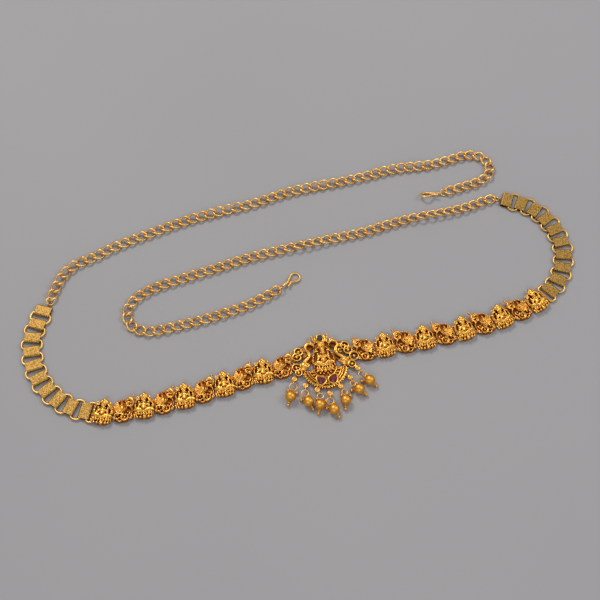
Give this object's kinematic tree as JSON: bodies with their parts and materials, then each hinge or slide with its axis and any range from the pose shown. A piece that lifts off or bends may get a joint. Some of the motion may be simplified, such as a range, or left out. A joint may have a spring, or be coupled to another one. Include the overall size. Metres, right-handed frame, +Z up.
{
  "type": "waist belt",
  "caption": "Gold waist belt with a cast pendant, hanging beads, figured plaques, folded book chain and a curb chain with a hook at each end.",
  "frame": {"origin": "middle of the bounding box of the belt as it lies, on the table's surface", "axes": "+X along the belt towards its right end, +Y away from the drops, +Z up from the table"},
  "size_m": [0.3316, 0.1872, 0.0059],
  "materials": {
    "cast_gold": "antique gold plate, darkened in the recesses",
    "brushed_gold": "fine stippled gold plate",
    "polished_gold": "polished gold plate",
    "bead_gold": "satin gold plate",
    "red_glass": "faceted red stone",
    "green_glass": "faceted dark green stone"
  },
  "bodies": {
    "root": {"pendant_frame": "cast_gold", "green_stone": "green_glass", "red_stone_left": "red_glass", "red_stone_right": "red_glass", "drop_rings": "polished_gold", "drop_1": "bead_gold", "drop_2": "bead_gold", "drop_3": "bead_gold", "drop_4": "bead_gold", "drop_5": "bead_gold", "drop_6": "bead_gold", "drop_7": "bead_gold", "figure_left_1": "cast_gold", "figure_left_2": "cast_gold", "figure_left_3": "cast_gold", "figure_left_4": "cast_gold", "figure_left_5": "cast_gold", "figure_right_1": "cast_gold", "figure_right_2": "cast_gold", "figure_right_3": "cast_gold", "figure_right_4": "cast_gold", "figure_right_5": "cast_gold", "peacock_left_1": "cast_gold", "peacock_left_2": "cast_gold", "peacock_left_3": "cast_gold", "peacock_left_4": "cast_gold", "peacock_left_5": "cast_gold", "peacock_right_1": "cast_gold", "peacock_right_2": "cast_gold", "peacock_right_3": "cast_gold", "peacock_right_4": "cast_gold", "peacock_right_5": "cast_gold", "book_plate_left_1": "brushed_gold", "book_plate_left_2": "brushed_gold", "book_plate_left_3": "brushed_gold", "book_plate_left_4": "brushed_gold", "book_plate_left_5": "brushed_gold", "book_plate_left_6": "brushed_gold", "book_plate_left_7": "brushed_gold", "book_plate_left_8": "brushed_gold", "book_plate_left_9": "brushed_gold", "book_plate_left_10": "brushed_gold", "book_plate_right_1": "brushed_gold", "book_plate_right_2": "brushed_gold", "book_plate_right_3": "brushed_gold", "book_plate_right_4": "brushed_gold", "book_plate_right_5": "brushed_gold", "book_plate_right_6": "brushed_gold", "book_plate_right_7": "brushed_gold", "book_plate_right_8": "brushed_gold", "book_plate_right_9": "brushed_gold", "book_plate_right_10": "brushed_gold", "book_rings_left": "polished_gold", "book_rings_right": "polished_gold", "chain_left": "polished_gold", "chain_right": "polished_gold", "hook_left": "polished_gold", "hook_right": "polished_gold"}
  },
  "joints": []
}
